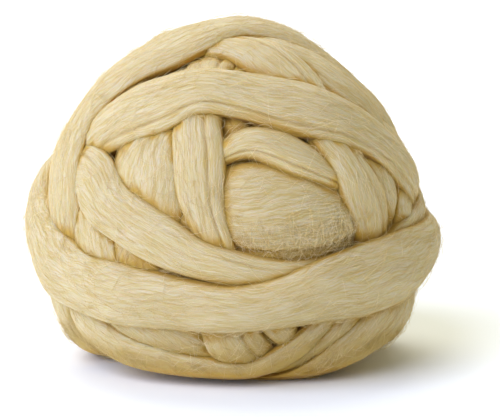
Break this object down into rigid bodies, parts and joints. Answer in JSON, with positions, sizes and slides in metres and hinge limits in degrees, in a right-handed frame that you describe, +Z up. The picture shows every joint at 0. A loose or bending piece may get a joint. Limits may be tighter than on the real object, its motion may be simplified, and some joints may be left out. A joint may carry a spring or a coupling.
{
  "type": "ball of wool roving",
  "caption": "Thick soft strip of combed, unspun wool wound turn over turn into a round ball that has settled on a flat spot.",
  "frame": {"origin": "middle of the flat spot that the ball rests on, at the level of the surface under it", "axes": "+Z up, -Y towards the side with the fullest view of the winding, +X along the ball's widest extent"},
  "size_m": [0.1984, 0.1864, 0.1636],
  "materials": {
    "wool": "undyed cream combed wool, soft parallel fibres with a faint sheen and a fuzzy surface"
  },
  "bodies": {
    "root": {"roving_ball": "wool"}
  },
  "joints": []
}
